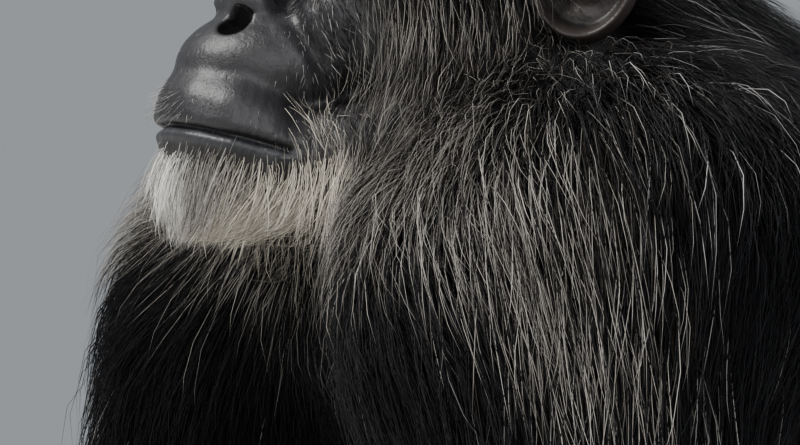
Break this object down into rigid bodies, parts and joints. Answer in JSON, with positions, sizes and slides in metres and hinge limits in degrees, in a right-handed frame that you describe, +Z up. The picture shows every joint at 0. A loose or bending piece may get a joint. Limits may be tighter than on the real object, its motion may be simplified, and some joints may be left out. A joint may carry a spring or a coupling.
{
  "type": "seated adult chimpanzee, life size",
  "caption": "Life-size adult chimpanzee, seated with knees up and knuckles on the floor, with a dark long coat, bare face and pale beard.",
  "frame": {"origin": "centre of the bounding box in X and Y, on the floor", "axes": "+Z up, the animal faces -Y, its left side is +X"},
  "size_m": [0.6391, 0.6438, 0.6824],
  "materials": {
    "coat": "long glossy black hair with grey hairs among it",
    "face_and_beard": "dark grey bare skin, with black hair on the crown and a cream beard",
    "bare_skin": "dark wrinkled skin, half matt",
    "seat_skin": "pale bare skin, matt",
    "eye": "wet brown"
  },
  "bodies": {
    "root": {"eye_left": "eye", "eye_right": "eye", "head": "face_and_beard", "ear_left": "bare_skin", "ear_right": "bare_skin", "seat_pad_left": "seat_skin", "seat_pad_right": "seat_skin", "neck": "coat", "chest": "coat", "belly": "coat", "upper_arm_left": "coat", "upper_arm_right": "coat", "forearm_left": "coat", "forearm_right": "coat", "thigh_left": "coat", "thigh_right": "coat", "shin_left": "coat", "shin_right": "coat", "hand_left": "bare_skin", "foot_left": "bare_skin", "hand_right": "bare_skin", "foot_right": "bare_skin", "finger_index_left": "bare_skin", "finger_middle_left": "bare_skin", "finger_ring_left": "bare_skin", "finger_little_left": "bare_skin", "thumb_left": "bare_skin", "toe_second_left": "bare_skin", "toe_third_left": "bare_skin", "toe_fourth_left": "bare_skin", "toe_fifth_left": "bare_skin", "toe_great_left": "bare_skin", "finger_index_right": "bare_skin", "finger_middle_right": "bare_skin", "finger_ring_right": "bare_skin", "finger_little_right": "bare_skin", "thumb_right": "bare_skin", "toe_second_right": "bare_skin", "toe_third_right": "bare_skin", "toe_fourth_right": "bare_skin", "toe_fifth_right": "bare_skin", "toe_great_right": "bare_skin"}
  },
  "joints": []
}
